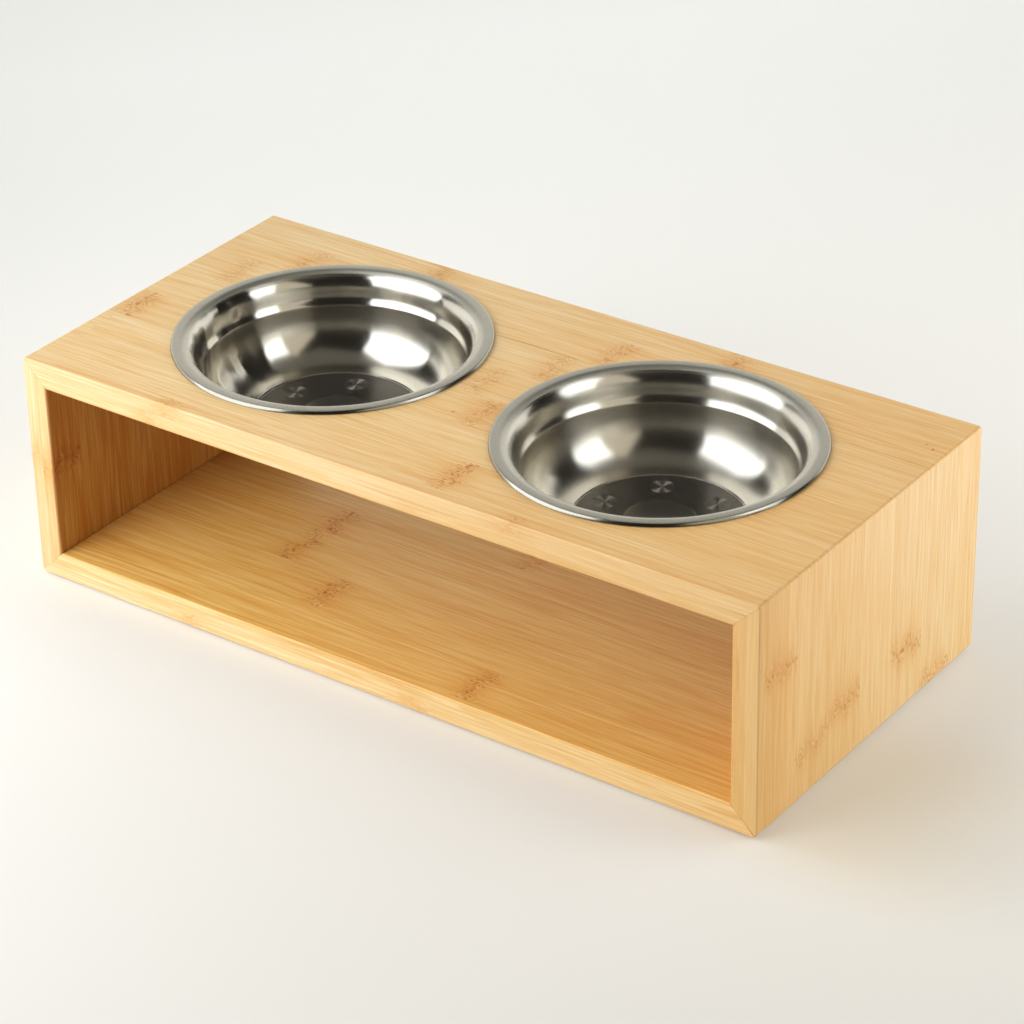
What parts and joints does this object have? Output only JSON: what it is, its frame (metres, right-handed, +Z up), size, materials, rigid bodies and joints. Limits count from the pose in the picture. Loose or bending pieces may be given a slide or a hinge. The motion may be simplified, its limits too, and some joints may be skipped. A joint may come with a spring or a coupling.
{
  "type": "raised pet bowl stand",
  "caption": "Low bamboo box with steel bowls dropped into its top, raising a pet's food and water above an open storage bay.",
  "frame": {"origin": "on the ground under the middle of the stand, at the lowest face of the foot pads", "axes": "+X along the stand's length towards the right bowl, +Y from the front opening to the back opening, +Z up"},
  "size_m": [0.4, 0.1836, 0.1169],
  "materials": {
    "bamboo": "clear satin lacquer over laminated bamboo strips",
    "hidden_bamboo": "raw sawn bamboo",
    "stainless_steel": "polished inside, satin rim",
    "pad_rubber": "matt"
  },
  "bodies": {
    "stand": {"top_panel": "bamboo", "bottom_panel": "bamboo", "left_panel": "bamboo", "right_panel": "bamboo", "mitre_spline_top_left": "hidden_bamboo", "mitre_spline_top_right": "hidden_bamboo", "mitre_spline_bottom_left": "hidden_bamboo", "mitre_spline_bottom_right": "hidden_bamboo", "foot_pad_front_left": "pad_rubber", "foot_pad_front_right": "pad_rubber", "foot_pad_back_left": "pad_rubber", "foot_pad_back_right": "pad_rubber"},
    "bowl_left": {"bowl_left": "stainless_steel"},
    "bowl_right": {"bowl_right": "stainless_steel"}
  },
  "joints": [
    {"name": "bowl_left_lift", "type": "slide", "parent": "stand", "child": "bowl_left", "axis": [0, 0, 1], "range_m": [0, 0.07]},
    {"name": "bowl_right_lift", "type": "slide", "parent": "stand", "child": "bowl_right", "axis": [0, 0, 1], "range_m": [0, 0.07]}
  ]
}
